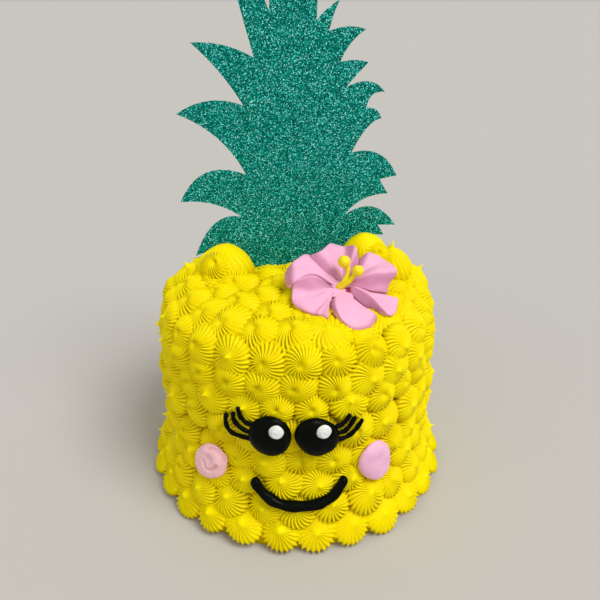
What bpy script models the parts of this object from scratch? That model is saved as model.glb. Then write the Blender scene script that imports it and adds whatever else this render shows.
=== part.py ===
"""Pineapple layer cake, in metres, +Z up, front towards -Y, origin under its middle.

A round cake iced with piped yellow stars. It carries a face of black, white and pink icing,
a pink piped flower with two yellow stamens, and a tall leaf crown cut from green card,
whose foot stands in a slot in the top.
"""

import math
import random

import bmesh
import bpy
from mathutils import Matrix, Vector

# Bare icing under the stars
BASE_RADIUS = 0.0765
SHOULDER_RADIUS = 0.0685
SHOULDER_HEIGHT = 0.099
SHOULDER_BEND = 0.013
TOP_RISE = 0.003
WAIST_DEPTH = 0.0030
WAIST_HEIGHT = 0.042
WAIST_SPREAD = 0.018
FOOT_FLARE = 0.0042
FOOT_SPREAD = 0.014

# Piped stars: a row is (distance up the icing from the bottom edge, stars in it, azimuth of one)
STAR_RADIUS = 0.0094
STAR_HEIGHT = 0.0092
FOOT_STAR_GROWTH = 1.11
FOOT_STAR_TILT = 18.0
STAR_ROWS = (
    (0.0106, 27, -6.2),
    (0.0235, 27, 0.9),
    (0.0385, 27, -5.6),
    (0.0520, 28, 2.7),
    (0.0675, 27, -4.0),
    (0.0830, 27, -6.5),
    (0.0950, 27, 1.0),
    (0.1065, 26, 2.7),
    (0.1180, 23, -1.5),
    (0.1315, 16, 6.0),
    (0.1450, 10, 0.0),
    (0.1585, 6, 20.0),
)
STAR_DRIFT = 0.0008
STAR_LEAN = 0.10
STAR_SIZE_SPREAD = 0.07
STAR_SEED = 8

# Tall stars on the top: (x, y, height of its root, degrees from upright, radius, height)
TALL_STARS = (
    (-0.0360, 0.006, 0.112, 24, 0.0135, 0.0215),
    (0.0355, 0.006, 0.112, 24, 0.0135, 0.0245),
    (0.0530, 0.004, 0.111, 16, 0.0105, 0.0150),
    (0.0610, 0.004, 0.108, 40, 0.0105, 0.0155),
)

# Gap between pieces that touch, and how far a cutter reaches past the stars
GAP = 0.0003
CLEAR = 0.020

# Face: places are (degrees round from the front, height), depths are out from the bare icing
EYE_SEAT = 0.0068
EYE_THICKNESS = 0.0056
DIMPLE_DEPTH = 0.0016
DOT_RADIUS = 0.0035
DOT_THICKNESS = 0.0022
CHEEK_SEAT = 0.0058
CHEEK_THICKNESS = 0.0050
STROKE_OUT = 0.0088
MOUTH_RADIUS = 0.0026
LASH_RADIUS = 0.0011
EYES = {
    "left": {"centre": (-8.8, 0.0706), "half": (0.0108, 0.0112), "dot": (-6.2, 0.0750)},
    "right": {"centre": (7.5, 0.0701), "half": (0.0115, 0.0105), "dot": (9.3, 0.0750)},
}
CHEEKS = {
    "left": {"centre": (-33.4, 0.0433), "half": (0.0110, 0.0097), "narrowing": 0.0},
    "right": {"centre": (30.0, 0.0451), "half": (0.0102, 0.0110), "narrowing": 0.22},
}
MOUTH = (
    (-15.1, 0.0425),
    (-13.4, 0.0382),
    (-10.2, 0.0334),
    (-5.3, 0.0299),
    (1.3, 0.0290),
    (8.0, 0.0299),
    (12.9, 0.0330),
    (15.9, 0.0385),
    (17.4, 0.0427),
)
LASHES = {
    "left_1": ((-24.7, 0.0790), (-24.9, 0.0730), (-22.8, 0.0688), (-17.0, 0.0676)),
    "left_2": ((-22.1, 0.0808), (-21.6, 0.0760), (-19.4, 0.0730), (-17.1, 0.0716)),
    "left_3": ((-20.3, 0.0840), (-19.2, 0.0790), (-17.9, 0.0770), (-16.3, 0.0760)),
    "right_1": ((23.6, 0.0762), (21.1, 0.0714), (18.7, 0.0688), (16.2, 0.0677)),
    "right_2": ((20.8, 0.0787), (19.0, 0.0746), (17.8, 0.0727), (16.4, 0.0715)),
    "right_3": ((19.0, 0.0805), (17.6, 0.0781), (16.6, 0.0766), (15.4, 0.0754)),
}

# Flower: its middle, the way it faces, and its petals as
# (first edge and last edge in degrees, length, lifts of first edge, middle, last edge and tip)
FLOWER_CENTRE = (0.0245, -0.0280, 0.1236)
FLOWER_TURN = 15.0
FLOWER_TILT = 28.0
PETAL_START = 0.0040
PETAL_THICKNESS = 0.0020
THROAT_DEPTH = 0.0012
PETALS = (
    (-127, -63, 0.0288, 0.0045, 0.0000, 0.0010, 0.0005),
    (-62, -22, 0.0285, 0.0055, 0.0030, 0.0000, 0.0005),
    (-21, 51, 0.0280, -0.0015, 0.0040, 0.0035, 0.0010),
    (52, 117, 0.0252, 0.0050, 0.0015, 0.0000, 0.0020),
    (118, 171, 0.0325, 0.0030, 0.0020, 0.0010, 0.0010),
    (172, 232, 0.0305, 0.0045, 0.0000, 0.0020, 0.0010),
)
STAMEN_RADIUS = 0.00105
STAMEN_BALL_RADIUS = 0.0029
STAMENS = {
    "left": (
        (-0.0023, 0.0012, -0.0006),
        (-0.0022, 0.0030, 0.0050),
        (0.0004, 0.0062, 0.0082),
        (-0.0002, 0.0088, 0.0112),
    ),
    "right": (
        (0.0006, 0.0014, -0.0006),
        (0.0024, 0.0012, 0.0045),
        (0.0042, 0.0018, 0.0075),
        (0.0058, 0.0022, 0.0102),
    ),
}

# Crown card: its edge as (corner, pull point of the stretch to the next corner), in mm, x and height
CARD_Y = 0.020
CARD_THICKNESS = 0.0011
CROWN_EDGE = (
    ((-22, 100), (-22, 107)),
    ((-22, 113), (-25, 114)),
    ((-27, 116), (-44, 128)),
    ((-58, 121), (-47, 149)),
    ((-30, 144), (-44, 155)),
    ((-64, 153), (-52, 178)),
    ((-27, 168), (-38, 191)),
    ((-62, 200), (-45, 211)),
    ((-27, 204), (-37, 221)),
    ((-52, 234), (-35, 235)),
    ((-21, 227), (-26, 246)),
    ((-34, 275), (-19, 264)),
    ((-13, 248), (-12, 276)),
    ((0, 297), (12, 276)),
    ((10, 244), (14, 249)),
    ((21, 253), (18, 247)),
    ((16, 239), (25, 243)),
    ((34, 240), (25, 234)),
    ((22, 225), (29, 227)),
    ((36, 225), (30, 219)),
    ((25, 213), (38, 220)),
    ((45, 211), (37, 212)),
    ((36, 203), (42, 204)),
    ((44, 198), (37, 197)),
    ((29, 180), (46, 185)),
    ((54, 168), (49, 167)),
    ((45, 166), (47, 162)),
    ((50, 158), (35, 158)),
    ((26, 145), (43, 158)),
    ((55, 140), (50, 140)),
    ((45, 140), (47, 138)),
    ((49, 134), (34, 136)),
    ((27, 117), (25, 114)),
    ((22, 113), (22, 107)),
    ((22, 100), (0, 100)),
)
LOW_CORNERS = 5


def new_collection(name):
    made = bpy.data.collections.new(name)
    bpy.context.scene.collection.children.link(made)
    return made


for old in list(bpy.data.objects):
    bpy.data.objects.remove(old, do_unlink=True)

cake_parts = new_collection("pineapple_cake")
stars = new_collection("stars")
cutters = new_collection("cutters")
helpers = new_collection("helpers")


def material(name, colour, roughness):
    made = bpy.data.materials.new(name)
    made.use_nodes = True
    shader = made.node_tree.nodes["Principled BSDF"]
    shader.inputs["Base Color"].default_value = (*colour, 1.0)
    shader.inputs["Roughness"].default_value = roughness
    return made


YELLOW = material("yellow_icing", (0.90, 0.72, 0.01), 0.50)
STAMEN_YELLOW = material("stamen_icing", (0.90, 0.66, 0.01), 0.45)
BLACK = material("black_icing", (0.008, 0.008, 0.009), 0.30)
WHITE = material("white_icing", (0.90, 0.90, 0.88), 0.45)
CHEEK_PINK = material("cheek_icing", (0.82, 0.42, 0.62), 0.50)
PETAL_PINK = material("petal_icing", (0.85, 0.42, 0.62), 0.50)
CARD_GREEN = material("green_card", (0.01, 0.22, 0.17), 0.45)


def new_object(name, bm, group, finish=None):
    """The bmesh as an object in this collection. Without a finish it is a hidden helper."""
    bmesh.ops.triangulate(bm, faces=[face for face in bm.faces if len(face.verts) > 4])
    bmesh.ops.recalc_face_normals(bm, faces=bm.faces)
    mesh = bpy.data.meshes.new(name)
    bm.to_mesh(mesh)
    bm.free()
    made = bpy.data.objects.new(name, mesh)
    group.objects.link(made)
    if finish is None:
        made.hide_render = True
        made.display_type = "WIRE"
    else:
        mesh.materials.append(finish)
        mesh.shade_smooth()
        mesh.set_sharp_from_angle(angle=math.radians(40))
    return made


def evaluated_mesh(made):
    graph = bpy.context.evaluated_depsgraph_get()
    return bpy.data.meshes.new_from_object(made.evaluated_get(graph))


# Bare icing: a turned shape with a flared foot, a slight waist, a round shoulder and a low dome
def side_radius(height):
    taper = (SHOULDER_RADIUS - BASE_RADIUS) / SHOULDER_HEIGHT
    waist = WAIST_DEPTH * math.exp(-(((height - WAIST_HEIGHT) / WAIST_SPREAD) ** 2))
    flare = FOOT_FLARE * math.exp(-((height / FOOT_SPREAD) ** 2))
    return BASE_RADIUS + taper * height - waist + flare


def icing_profile(side_steps, shoulder_steps, top_steps):
    """The outline as (radius, height) points from the bottom edge to the middle of the top."""
    points = []
    for step in range(side_steps):
        height = SHOULDER_HEIGHT * step / side_steps
        points.append(Vector((side_radius(height), height)))
    flat_radius = side_radius(SHOULDER_HEIGHT) - SHOULDER_BEND
    for step in range(shoulder_steps + 1):
        angle = math.pi / 2 * step / shoulder_steps
        reach = flat_radius + SHOULDER_BEND * math.cos(angle)
        points.append(Vector((reach, SHOULDER_HEIGHT + SHOULDER_BEND * math.sin(angle))))
    for step in range(1, top_steps + 1):
        share = 1 - step / top_steps
        rise = TOP_RISE * (1 - share**2)
        points.append(Vector((flat_radius * share, SHOULDER_HEIGHT + SHOULDER_BEND + rise)))
    return points


def bare_icing():
    """The cake's body, a little longer below than it ends up, for the floor cutter to trim."""
    spare = 0.003
    outline = [(point.x, 0.0, point.y) for point in reversed(icing_profile(4, 3, 2))]
    outline += [(side_radius(0.0), 0.0, -spare), (0.0, 0.0, -spare)]
    mesh = bpy.data.meshes.new("cake")
    mesh.from_pydata(outline, [(i, i + 1) for i in range(len(outline) - 1)], [])
    mesh.materials.append(YELLOW)
    body = bpy.data.objects.new("cake", mesh)
    cake_parts.objects.link(body)
    turn = body.modifiers.new("turn", "SCREW")
    turn.steps = 40
    turn.render_steps = 40
    turn.use_merge_vertices = True
    turn.merge_threshold = 0.00001
    return body


# Piped stars: where each one is, which way it points and how large it is
FINE_PROFILE = icing_profile(48, 24, 24)


def up_the_icing(distance):
    """Point and outward normal of the outline, this far up from the bottom edge."""
    left = distance
    for low, high in zip(FINE_PROFILE, FINE_PROFILE[1:]):
        step = high - low
        if left <= step.length:
            break
        left -= step.length
    return low + step * min(1.0, left / step.length), Vector((step.y, -step.x)).normalized()


def star_spots():
    """Every star as (position, outward direction, radius, height, roll)."""
    draw = random.Random(STAR_SEED)
    spots = []
    for row, (distance, count, azimuth) in enumerate(STAR_ROWS):
        for star in range(count):
            point, normal = up_the_icing(distance + draw.uniform(-STAR_DRIFT, STAR_DRIFT))
            angle = math.radians(azimuth + 360 * star / count)
            angle += draw.uniform(-STAR_DRIFT, STAR_DRIFT) / point.x
            ahead = Vector((math.sin(angle), -math.cos(angle), 0.0))
            place = ahead * point.x + Vector((0.0, 0.0, point.y))
            lean = Vector([draw.uniform(-STAR_LEAN, STAR_LEAN) for axis in range(3)])
            lean.z += math.tan(math.radians(FOOT_STAR_TILT)) if row == 0 else 0.0
            facing = (ahead * normal.x + Vector((0.0, 0.0, normal.y)) + lean).normalized()
            size = 1 + draw.uniform(-STAR_SIZE_SPREAD, STAR_SIZE_SPREAD)
            size *= FOOT_STAR_GROWTH if row == 0 else 1.0
            tall = STAR_HEIGHT * (1 + draw.uniform(-STAR_SIZE_SPREAD, STAR_SIZE_SPREAD))
            spots.append((place, facing, STAR_RADIUS * size, tall, draw.uniform(0, math.pi)))
    top = SHOULDER_HEIGHT + SHOULDER_BEND
    spots.append((Vector((0, 0, top + TOP_RISE)), Vector((0, 0, 1)), STAR_RADIUS, STAR_HEIGHT, 0.0))
    for x, y, root, tilt, radius, height in TALL_STARS:
        out = Vector((x, y, 0.0)).normalized() * math.tan(math.radians(tilt))
        facing = (out + Vector((0.0, 0.0, 1.0))).normalized()
        spots.append((Vector((x, y, root)), facing, radius, height, 0.0))
    return spots


# A star's outline from its peak to its buried root, as (share of radius, share of height)
STAR_OUTLINE = ((0.0, 1.0), (0.62, 0.80), (1.0, 0.42), (0.8, -0.20), (0.0, -0.30))
STAR_SIDES = 8
KEPT_SHARE = 0.375


def piped_star(place, facing, radius, height, roll):
    bm = bmesh.new()
    rings = len(STAR_OUTLINE) - 1
    bmesh.ops.create_uvsphere(bm, u_segments=STAR_SIDES, v_segments=rings, radius=1.0)
    for vert in bm.verts:
        ring = round(math.acos(max(-1.0, min(1.0, vert.co.z))) / math.pi * rings)
        around = math.atan2(vert.co.y, vert.co.x)
        reach, rise = STAR_OUTLINE[ring]
        reach *= radius
        vert.co = (reach * math.cos(around), reach * math.sin(around), height * rise)
    turn = facing.to_track_quat("Z", "Y").to_matrix().to_4x4()
    bm.transform(Matrix.Translation(place) @ turn @ Matrix.Rotation(roll, 4, "Z"))
    return new_object("star", bm, stars)


def combine(body, operation, group):
    """Adds a Boolean with every object of this collection."""
    joint = body.modifiers.new(operation.lower(), "BOOLEAN")
    joint.operation = operation
    joint.operand_type = "COLLECTION"
    joint.collection = group
    joint.solver = "MANIFOLD"


def settle(body, group):
    """Applies the modifiers, keeps the largest closed body, and removes the collection's objects."""
    mesh = evaluated_mesh(body)
    bm = bmesh.new()
    bm.from_mesh(mesh)
    waiting = set(bm.verts)
    islands = []
    while waiting:
        island = set()
        edge = {waiting.pop()}
        while edge:
            island |= edge
            edge = {link.other_vert(vert) for vert in edge for link in vert.link_edges} - island
        waiting -= island
        islands.append(island)
    largest = max(islands, key=len)
    bmesh.ops.delete(bm, geom=[vert for vert in bm.verts if vert not in largest], context="VERTS")
    bm.to_mesh(mesh)
    bm.free()
    body.modifiers.clear()
    body.data = mesh
    for helper in list(group.objects):
        bpy.data.objects.remove(helper, do_unlink=True)


def iced_cake():
    """The body with all its stars fused on, then cut for what lies on it and stands in it."""
    body = bare_icing()
    for spot in star_spots():
        piped_star(*spot)
    combine(body, "UNION", stars)
    settle(body, stars)
    thin = body.modifiers.new("thin", "DECIMATE")
    thin.ratio = KEPT_SHARE
    combine(body, "DIFFERENCE", cutters)
    settle(body, cutters)
    return body


# Face pieces are modelled flat, x along the side, y up, z out from the bare icing, then wrapped on
def wrap(bm, azimuth, height):
    for vert in bm.verts:
        flat = vert.co.copy()
        reach = side_radius(height + flat.y)
        angle = math.radians(azimuth) + flat.x / (reach + STAR_HEIGHT)
        out = reach + flat.z
        vert.co = (out * math.sin(angle), -out * math.cos(angle), height + flat.y)


def drum(half_x, half_y, low, high, narrowing=0.0):
    """An upright prism with an oval outline, narrower towards its top by this share."""
    bm = bmesh.new()
    bmesh.ops.create_uvsphere(bm, u_segments=14, v_segments=6, radius=1.0)
    for vert in bm.verts:
        lid = vert.co.z > 0.1
        reach = 1 / math.cos(math.radians(30)) if lid else 1.0
        x = half_x * reach * (1 - narrowing * max(0.0, vert.co.y * reach)) * vert.co.x
        vert.co = (x, half_y * reach * vert.co.y, high if lid else low)
    return bm


def dab(half_x, half_y, low, thickness, narrowing=0.0):
    """A low rounded mound with a flat back and the same outline as the drum."""
    bm = bmesh.new()
    bmesh.ops.create_uvsphere(bm, u_segments=14, v_segments=6, radius=1.0)
    for vert in bm.verts:
        x = half_x * (1 - narrowing * max(0.0, vert.co.y)) * vert.co.x
        vert.co = (x, half_y * vert.co.y, low + thickness * max(0.0, vert.co.z) ** 0.6)
    bmesh.ops.remove_doubles(bm, verts=bm.verts, dist=0.00001)
    return bm


def dab_on_stars(name, centre, half, seat, thickness, finish, narrowing=0.0):
    bm = dab(*half, seat, thickness, narrowing)
    wrap(bm, *centre)
    made = new_object(name, bm, cake_parts, finish)
    bm = drum(half[0] + 2 * GAP, half[1] + 2 * GAP, seat - GAP, seat + CLEAR, narrowing)
    wrap(bm, *centre)
    new_object(name + "_seat", bm, cutters)
    return made


def eye(side, centre, half, dot):
    """A black eye with a dimple that holds its white dot."""
    ball = dab_on_stars(f"eye_{side}", centre, half, EYE_SEAT, EYE_THICKNESS, BLACK)
    floor = EYE_SEAT + EYE_THICKNESS - DIMPLE_DEPTH
    bm = drum(DOT_RADIUS + GAP, DOT_RADIUS + GAP, floor - GAP, floor + CLEAR)
    wrap(bm, *dot)
    dimple = ball.modifiers.new("dimple", "BOOLEAN")
    dimple.operation = "DIFFERENCE"
    dimple.solver = "MANIFOLD"
    dimple.object = new_object(f"dimple_{side}", bm, helpers)
    bm = dab(DOT_RADIUS, DOT_RADIUS, floor, DOT_THICKNESS)
    wrap(bm, *dot)
    new_object(f"eye_dot_{side}", bm, cake_parts, WHITE)


def swept(points, radius, roundness, steps, end_share):
    """The bmesh of a tube through these points, with its ends narrowed to this share."""
    data = bpy.data.curves.new("stroke", "CURVE")
    data.dimensions = "3D"
    data.resolution_u = steps
    data.bevel_depth = radius
    data.bevel_resolution = roundness
    data.use_fill_caps = True
    spline = data.splines.new("BEZIER")
    spline.bezier_points.add(len(points) - 1)
    for knot, point in zip(spline.bezier_points, points):
        knot.co = point
        knot.handle_left_type = "AUTO"
        knot.handle_right_type = "AUTO"
    spline.bezier_points[0].radius = end_share
    spline.bezier_points[-1].radius = end_share
    curve = bpy.data.objects.new("stroke", data)
    bpy.context.scene.collection.objects.link(curve)
    mesh = evaluated_mesh(curve)
    bm = bmesh.new()
    bm.from_mesh(mesh)
    bmesh.ops.remove_doubles(bm, verts=bm.verts, dist=0.00001)
    bpy.data.objects.remove(curve, do_unlink=True)
    bpy.data.meshes.remove(mesh)
    return bm


def stroke(name, route, radius, roundness, steps, end_share):
    """A piped black line over the stars, and the cutter that makes its groove in them."""
    azimuth, height = route[0]
    reach = side_radius(height) + STAR_HEIGHT
    flat = []
    for point in route:
        x = math.radians(point[0] - azimuth) * reach
        flat.append(Vector((x, point[1] - height, STROKE_OUT)))
    bm = swept(flat, radius, roundness, steps, end_share)
    wrap(bm, azimuth, height)
    new_object(name, bm, cake_parts, BLACK)

    flat[0] += (flat[0] - flat[1]).normalized() * 2 * GAP
    flat[-1] += (flat[-1] - flat[-2]).normalized() * 2 * GAP
    bm = swept(flat, radius + 2 * GAP, roundness, steps, end_share)
    for vert in bm.verts:
        if vert.co.z > STROKE_OUT + radius * 0.1:
            vert.co.z += CLEAR
    wrap(bm, azimuth, height)
    new_object(name + "_groove", bm, cutters)


# Flower: modelled in its own frame, +Z out of its middle, then turned and tilted onto the shoulder
FLOWER_FRAME = (
    Matrix.Translation(FLOWER_CENTRE)
    @ Matrix.Rotation(math.radians(FLOWER_TURN), 4, "Z")
    @ Matrix.Rotation(math.radians(FLOWER_TILT), 4, "X")
)


def petal(shape, margin, low, high):
    """A wavy wedge with a round end, from this far below its sheet to this far above it."""
    first, last, length, lift_first, lift_middle, lift_last, lift_tip = shape
    middle = math.radians(first + last) / 2
    half = math.radians(last - first) / 2
    start = PETAL_START - margin
    bm = bmesh.new()
    bmesh.ops.create_grid(bm, x_segments=4, y_segments=4, size=1.0)
    for vert in bm.verts:
        along = (vert.co.x + 1) / 2
        across = vert.co.y
        reach = start + (length + margin - start) * along * (1 - 0.16 * across**2 * along**2)
        angle = middle + across * (half * (1 - 0.14 * along**5) + margin / reach)
        edge = lift_first if across < 0 else lift_last
        lift = (lift_middle + (edge - lift_middle) * across**2) * along**1.2
        lift += lift_tip * along**2 - THROAT_DEPTH * (1 - along) ** 2
        vert.co = (reach * math.cos(angle), reach * math.sin(angle), lift + low)
    bmesh.ops.triangulate(bm, faces=bm.faces)
    sheet = bmesh.ops.extrude_face_region(bm, geom=bm.faces)
    raised = [item for item in sheet["geom"] if isinstance(item, bmesh.types.BMVert)]
    bmesh.ops.translate(bm, verts=raised, vec=(0, 0, high - low))
    bm.transform(FLOWER_FRAME)
    return bm


def flower():
    for number, shape in enumerate(PETALS, 1):
        bm = petal(shape, 0.0, 0.0, PETAL_THICKNESS)
        new_object(f"petal_{number}", bm, cake_parts, PETAL_PINK)
        new_object("petal_bed", petal(shape, 2 * GAP, -GAP, 2 * CLEAR), cutters)
    bm = drum(PETAL_START, PETAL_START, -THROAT_DEPTH - GAP, CLEAR)
    bm.transform(FLOWER_FRAME)
    new_object("throat_bed", bm, cutters)
    for side, route in STAMENS.items():
        stem = swept([Vector(point) for point in route], STAMEN_RADIUS, 1, 3, 1.0)
        stem.transform(FLOWER_FRAME)
        made = new_object(f"stamen_{side}", stem, cake_parts, STAMEN_YELLOW)
        bm = bmesh.new()
        bmesh.ops.create_uvsphere(bm, u_segments=8, v_segments=6, radius=STAMEN_BALL_RADIUS)
        bm.transform(FLOWER_FRAME @ Matrix.Translation(route[-1]))
        ball = made.modifiers.new("ball", "BOOLEAN")
        ball.operation = "UNION"
        ball.object = new_object(f"ball_{side}", bm, helpers)


# Crown: a flat card cut to an outline of leaves, standing upright behind the front stars
def card(name, edge, thickness, grown):
    data = bpy.data.curves.new(name, "CURVE")
    data.dimensions = "2D"
    data.fill_mode = "BOTH"
    data.resolution_u = 3
    data.extrude = thickness / 2
    data.offset = grown
    spline = data.splines.new("BEZIER")
    spline.use_cyclic_u = True
    spline.bezier_points.add(len(edge) - 1)
    corners = [Vector((*corner, 0)) / 1000 for corner, pull in edge]
    pulls = [Vector((*pull, 0)) / 1000 for corner, pull in edge]
    for index, knot in enumerate(spline.bezier_points):
        knot.co = corners[index]
        knot.handle_left_type = "FREE"
        knot.handle_right_type = "FREE"
        knot.handle_left = corners[index].lerp(pulls[index - 1], 2 / 3)
        knot.handle_right = corners[index].lerp(pulls[index], 2 / 3)
    made = bpy.data.objects.new(name, data)
    made.location = (0, CARD_Y, 0)
    made.rotation_euler = (math.radians(90), 0, 0)
    return made


def crown():
    """The card, and the cutter of its slot: the lowest leaves and the foot, a little larger."""
    leaves = card("leaf_crown", CROWN_EDGE, CARD_THICKNESS, 0.0)
    leaves.data.materials.append(CARD_GREEN)
    cake_parts.objects.link(leaves)
    low_edge = CROWN_EDGE[-LOW_CORNERS - 2 :] + CROWN_EDGE[:LOW_CORNERS]
    slot = card("slot", low_edge, CARD_THICKNESS + 2 * GAP, GAP)
    bpy.context.scene.collection.objects.link(slot)
    bpy.context.view_layer.update()
    bm = bmesh.new()
    bm.from_mesh(evaluated_mesh(slot))
    bmesh.ops.remove_doubles(bm, verts=bm.verts, dist=0.00001)
    bm.transform(slot.matrix_world)
    bpy.data.objects.remove(slot, do_unlink=True)
    new_object("slot", bm, cutters)


bm = drum(0.2, 0.2, -0.05, 0.0)
new_object("floor", bm, cutters)
for side, shape in EYES.items():
    eye(side, **shape)
for side, shape in CHEEKS.items():
    dab_on_stars(
        f"cheek_{side}", shape["centre"], shape["half"], CHEEK_SEAT, CHEEK_THICKNESS, CHEEK_PINK,
        shape["narrowing"],
    )
stroke("mouth", MOUTH, MOUTH_RADIUS, 2, 3, 0.75)
for name, route in LASHES.items():
    stroke(f"lash_{name}", route, LASH_RADIUS, 1, 2, 0.8)
flower()
crown()
iced_cake()
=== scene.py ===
"""Pineapple layer cake, dressed for the camera, in metres, +Z up, front towards -Y.

A round cake covered in piped yellow stars, with a piped smiling face, a pink piped flower with
two yellow stamens, and a leaf crown cut from green glitter card.
"""

import math
import random

import bmesh
import bpy
from mathutils import Matrix, Vector, noise
from mathutils.bvhtree import BVHTree


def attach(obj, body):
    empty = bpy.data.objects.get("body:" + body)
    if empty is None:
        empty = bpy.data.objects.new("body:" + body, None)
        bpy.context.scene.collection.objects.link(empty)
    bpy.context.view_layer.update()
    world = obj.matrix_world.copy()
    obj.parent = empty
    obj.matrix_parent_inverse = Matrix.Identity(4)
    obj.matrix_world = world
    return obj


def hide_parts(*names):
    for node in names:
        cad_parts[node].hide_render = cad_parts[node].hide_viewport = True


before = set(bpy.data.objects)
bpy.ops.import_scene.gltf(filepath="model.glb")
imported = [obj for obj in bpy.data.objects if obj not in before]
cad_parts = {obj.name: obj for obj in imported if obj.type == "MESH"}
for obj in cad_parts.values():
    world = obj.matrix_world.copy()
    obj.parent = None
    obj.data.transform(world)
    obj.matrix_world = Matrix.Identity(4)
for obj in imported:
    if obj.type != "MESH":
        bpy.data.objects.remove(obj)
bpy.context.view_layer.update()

# Cake body: round layers under a plain coat of yellow buttercream, which shows only in the gaps
# between the stars. Its outline is spun round: flared foot, slight waist, round shoulder, low dome.
BASE_RADIUS = 0.0765
SHOULDER_RADIUS = 0.0685
SHOULDER_HEIGHT = 0.099
SHOULDER_BEND = 0.013
TOP_RISE = 0.003
WAIST_DEPTH = 0.0030
WAIST_HEIGHT = 0.042
WAIST_SPREAD = 0.018
FOOT_FLARE = 0.0042
FOOT_SPREAD = 0.014
# Steps of the outline up the side, round the shoulder and over the top, and of the turn
COAT_STEPS = (20, 8, 8)
COAT_TURN_STEPS = 120
WELD = 0.00001


def side_radius(height):
    """How far out the bare icing of the side is at this height."""
    taper = (SHOULDER_RADIUS - BASE_RADIUS) / SHOULDER_HEIGHT
    waist = WAIST_DEPTH * math.exp(-(((height - WAIST_HEIGHT) / WAIST_SPREAD) ** 2))
    flare = FOOT_FLARE * math.exp(-((height / FOOT_SPREAD) ** 2))
    return BASE_RADIUS + taper * height - waist + flare


def icing_profile(side_steps, shoulder_steps, top_steps):
    """The outline as (radius, height) points from the bottom edge to the middle of the top."""
    points = []
    for step in range(side_steps):
        height = SHOULDER_HEIGHT * step / side_steps
        points.append(Vector((side_radius(height), height)))
    flat_radius = side_radius(SHOULDER_HEIGHT) - SHOULDER_BEND
    for step in range(shoulder_steps + 1):
        angle = math.pi / 2 * step / shoulder_steps
        reach = flat_radius + SHOULDER_BEND * math.cos(angle)
        points.append(Vector((reach, SHOULDER_HEIGHT + SHOULDER_BEND * math.sin(angle))))
    for step in range(1, top_steps + 1):
        share = 1 - step / top_steps
        rise = TOP_RISE * (1 - share**2)
        points.append(Vector((flat_radius * share, SHOULDER_HEIGHT + SHOULDER_BEND + rise)))
    return points


def node(tree, kind, inputs, **settings):
    """A shader node, its settings by name and its inputs by name or place, as values or links."""
    made = tree.nodes.new("ShaderNode" + kind)
    for name, value in settings.items():
        setattr(made, name, value)
    for socket, value in inputs.items():
        if isinstance(value, bpy.types.NodeSocket):
            tree.links.new(value, made.inputs[socket])
        else:
            made.inputs[socket].default_value = value
    return made


def new_finish(name):
    """A plain material, with its node tree and its shader."""
    made = bpy.data.materials.new(name)
    made.use_nodes = True
    return made, made.node_tree, made.node_tree.nodes["Principled BSDF"]


def shade_icing(tree, mix, light, deep, patches, roughness, spread):
    """Colour between light and deep by the mix, and a roughness that follows the patches."""
    shader = tree.nodes["Principled BSDF"]
    tone = node(tree, "Mix", {0: mix, 6: (*light, 1), 7: (*deep, 1)}, data_type="RGBA")
    tree.links.new(tone.outputs[2], shader.inputs["Base Color"])
    dullest = roughness + spread
    dull = node(tree, "MapRange", {0: patches, 1: 0.3, 2: 0.7, 3: roughness - spread, 4: dullest})
    tree.links.new(dull.outputs[0], shader.inputs["Roughness"])


def roughen(tree, place, grain, grain_height, bubbles, pit, rarity, strength, depth):
    """Bump of an icing: a fine grain, and the pits that some of its air bubbles leave.

    Grain is (scale, detail), and a pit is (radius of its bottom, radius of its rim, depth).
    """
    fine = node(tree, "TexNoise", {"Vector": place, "Scale": grain[0], "Detail": grain[1]})
    cells = node(tree, "TexVoronoi", {"Vector": place, "Scale": bubbles})
    bottom, rim, drop = pit
    pits = node(
        tree, "MapRange", {0: cells.outputs["Distance"], 1: bottom, 2: rim, 3: -drop, 4: 0.0}
    )
    lots = node(tree, "SeparateColor", {0: cells.outputs["Color"]})
    burst = node(tree, "Math", {0: lots.outputs[0], 1: rarity}, operation="GREATER_THAN")
    pitted = node(tree, "Math", {0: pits.outputs[0], 1: burst.outputs[0]}, operation="MULTIPLY")
    relief = node(
        tree,
        "Math",
        {0: fine.outputs["Fac"], 1: grain_height, 2: pitted.outputs[0]},
        operation="MULTIPLY_ADD",
    )
    bump = node(
        tree, "Bump", {"Height": relief.outputs[0], "Strength": strength, "Distance": depth}
    )
    tree.links.new(bump.outputs["Normal"], tree.nodes["Principled BSDF"].inputs["Normal"])


def buttercream(name, light, deep, roughness, specular, glow):
    """Whipped icing: two tones in soft patches, the deep one also as painted shade in its creases;
    grain and air pits.
    """
    made, tree, shader = new_finish(name)
    place = node(tree, "TexCoord", {}).outputs["Object"]
    # Painted shade: a per-vertex share of the deep tone, set where each mesh is made, added to the
    # random patches
    painted_shade = node(tree, "Attribute", {}, attribute_name="painted_shade").outputs["Fac"]
    cloud = node(tree, "TexNoise", {"Vector": place, "Scale": 70.0, "Detail": 3.0})
    patches = cloud.outputs["Fac"]
    patchy = node(tree, "MapRange", {0: patches, 1: 0.35, 2: 0.75, 3: 0.0, 4: 0.22})
    depth = node(tree, "Math", {0: painted_shade, 1: patchy.outputs[0]}, operation="ADD", use_clamp=True)
    shade_icing(tree, depth.outputs[0], light, deep, patches, roughness, 0.07)
    roughen(
        tree,
        place,
        grain=(1300.0, 4.0),
        grain_height=0.6,
        bubbles=420.0,
        pit=(0.05, 0.22, 1.0),
        rarity=0.93,
        strength=0.5,
        depth=0.00025,
    )
    shader.inputs["Specular IOR Level"].default_value = specular
    shader.inputs["Subsurface Weight"].default_value = glow
    shader.inputs["Subsurface Radius"].default_value = (1.0, 0.6, 0.15)
    shader.inputs["Subsurface Scale"].default_value = 0.0012
    return made


def new_object(name, data):
    """An object with this data, put into the scene."""
    made = bpy.data.objects.new(name, data)
    bpy.context.scene.collection.objects.link(made)
    return made


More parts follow.
